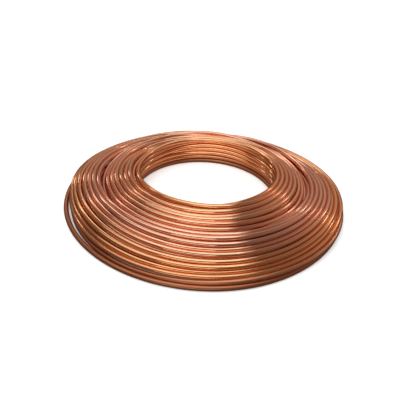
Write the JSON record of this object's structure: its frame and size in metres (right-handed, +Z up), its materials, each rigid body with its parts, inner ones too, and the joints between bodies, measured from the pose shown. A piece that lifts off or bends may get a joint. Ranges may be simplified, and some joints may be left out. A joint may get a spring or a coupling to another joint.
{
  "type": "copper tube coil",
  "caption": "Flat-lying loose coil of round soft copper tube, wound in many turns around an open bore, sloping down to its outer edge.",
  "frame": {"origin": "on the floor, at the middle of the coil's bore", "axes": "+Z up along the coil's axis; the coil is round, so +X and +Y are any two radii, and -Y is the side that faces the camera"},
  "size_m": [0.396, 0.396, 0.0546],
  "materials": {
    "copper": "bright drawn, light tarnish"
  },
  "bodies": {
    "root": {"copper_tube_coil": "copper"}
  },
  "joints": []
}
